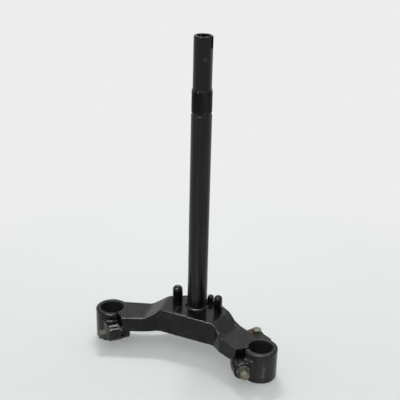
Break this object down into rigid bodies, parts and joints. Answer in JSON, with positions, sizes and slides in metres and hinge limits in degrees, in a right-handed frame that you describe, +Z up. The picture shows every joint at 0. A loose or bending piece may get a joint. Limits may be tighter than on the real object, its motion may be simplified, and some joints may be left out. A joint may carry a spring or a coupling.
{
  "type": "motorcycle triple clamp",
  "caption": "Lower fork bridge with split pinch clamps at its arm ends, a tall hollow steering stem, stop pegs and a hose bracket; carries the fork tubes.",
  "frame": {"origin": "on the steering axis at the bearing seat, just above the weld bead at the stem's foot", "axes": "+Z up the steering stem, -Y to the front, +X to the side that carries the hose bracket"},
  "size_m": [0.2522, 0.1039, 0.406],
  "materials": {
    "gloss_black_enamel": "gloss black enamel on forged steel, with wear and dirt",
    "satin_black_paint": "satin black paint on turned steel",
    "peg_black": "gloss black enamel",
    "aged_zinc": "aged yellow zinc plating",
    "rusty_strip": "dull grey-green strip with rust at its inner end",
    "dull_zinc": "dull zinc plating with rust on one side"
  },
  "bodies": {
    "root": {"fork_bridge": "gloss_black_enamel", "steering_stem": "satin_black_paint", "stop_peg_left": "peg_black", "stop_peg_right": "peg_black", "lock_peg": "peg_black", "pinch_bolt_left": "aged_zinc", "pinch_bolt_right": "aged_zinc", "hose_bracket": "rusty_strip", "hose_bracket_bolt": "dull_zinc"}
  },
  "joints": []
}
